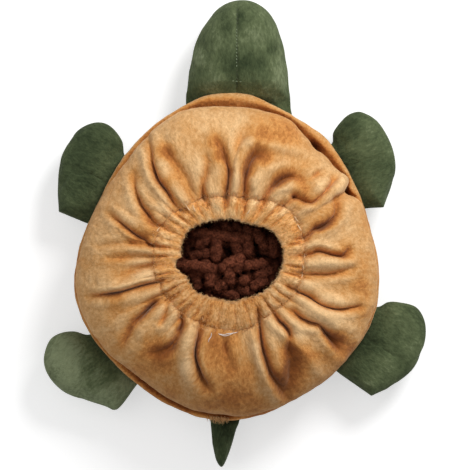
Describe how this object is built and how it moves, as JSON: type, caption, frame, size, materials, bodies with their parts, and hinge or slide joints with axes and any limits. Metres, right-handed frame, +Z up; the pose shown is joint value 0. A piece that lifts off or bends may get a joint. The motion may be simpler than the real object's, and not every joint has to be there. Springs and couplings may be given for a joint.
{
  "type": "plush treat dispenser toy",
  "caption": "Stuffed turtle toy lying on its shell: an elastic mouth in the gathered belly opens on a pouch with a chenille mat that hides treats.",
  "frame": {"origin": "Middle of the flat crown panel of the shell, on the plane that the toy lies on.", "axes": "+Z is up, out of the mouth. +Y runs from the tail to the head. +X is the right-hand side of the picture. Metres."},
  "size_m": [0.2659, 0.3251, 0.0773],
  "materials": {
    "green_plush": "short-pile green plush, matt with a soft nap sheen",
    "tan_plush": "short-pile tan plush, matt with a soft nap sheen",
    "brown_chenille": "dark brown chenille fingers on a knitted backing",
    "white_fibre": "loose white polyester fibre filling",
    "white_elastic": "flat woven white elastic",
    "black_thread": "satin-stitched black thread"
  },
  "bodies": {
    "shell_and_belly": {"shell_crown_panel": "green_plush", "shell_gore_front_right": "green_plush", "shell_gore_head": "green_plush", "shell_gore_front_left": "green_plush", "shell_gore_rear_left": "green_plush", "shell_gore_tail": "green_plush", "shell_gore_rear_right": "green_plush", "rim_lip": "tan_plush", "base_padding": "white_fibre", "chenille_mat": "brown_chenille", "mouth_casing": "tan_plush", "mouth_elastic": "white_elastic", "belly_skirt": "tan_plush"},
    "head": {"head_belly_left_panel": "green_plush", "head_belly_right_panel": "green_plush", "head_back_panel": "green_plush", "head_stuffing": "white_fibre", "head_left_eye": "black_thread", "head_right_eye": "black_thread"},
    "front_left_flipper": {"front_left_flipper_belly_panel": "green_plush", "front_left_flipper_back_panel": "green_plush", "front_left_flipper_stuffing": "white_fibre"},
    "front_right_flipper": {"front_right_flipper_belly_panel": "green_plush", "front_right_flipper_back_panel": "green_plush", "front_right_flipper_stuffing": "white_fibre"},
    "rear_left_flipper": {"rear_left_flipper_belly_panel": "green_plush", "rear_left_flipper_back_panel": "green_plush", "rear_left_flipper_stuffing": "white_fibre"},
    "rear_right_flipper": {"rear_right_flipper_belly_panel": "green_plush", "rear_right_flipper_back_panel": "green_plush", "rear_right_flipper_stuffing": "white_fibre"},
    "tail": {"tail_belly_panel": "green_plush", "tail_back_panel": "green_plush", "tail_stuffing": "white_fibre"}
  },
  "joints": [
    {"name": "head_seam", "type": "hinge", "parent": "shell_and_belly", "child": "head", "pos_m": [0.00684, 0.10301, 0.0235], "axis": [1, 0, 0], "range_deg": [-3, 11], "stiffness_Nm_per_rad": 0.3},
    {"name": "front_left_flipper_seam", "type": "hinge", "parent": "shell_and_belly", "child": "front_left_flipper", "pos_m": [-0.079, 0.04543, 0.0235], "axis": [0.4524, 0.8918, 0], "range_deg": [-24, 22], "stiffness_Nm_per_rad": 0.05},
    {"name": "front_right_flipper_seam", "type": "hinge", "parent": "shell_and_belly", "child": "front_right_flipper", "pos_m": [0.07719, 0.05445, 0.0235], "axis": [0.4524, -0.8918, 0], "range_deg": [-24, 22], "stiffness_Nm_per_rad": 0.05},
    {"name": "rear_left_flipper_seam", "type": "hinge", "parent": "shell_and_belly", "child": "rear_left_flipper", "pos_m": [-0.07486, -0.06577, 0.0235], "axis": [-0.6934, 0.7206, 0], "range_deg": [-22, 22], "stiffness_Nm_per_rad": 0.05},
    {"name": "rear_right_flipper_seam", "type": "hinge", "parent": "shell_and_belly", "child": "rear_right_flipper", "pos_m": [0.08475, -0.0542, 0.0235], "axis": [-0.5299, -0.848, 0], "range_deg": [-22, 22], "stiffness_Nm_per_rad": 0.05},
    {"name": "tail_seam", "type": "hinge", "parent": "shell_and_belly", "child": "tail", "pos_m": [-0.00254, -0.10386, 0.0235], "axis": [-0.9954, 0.0958, 0], "range_deg": [-25, 25], "stiffness_Nm_per_rad": 0.02}
  ]
}
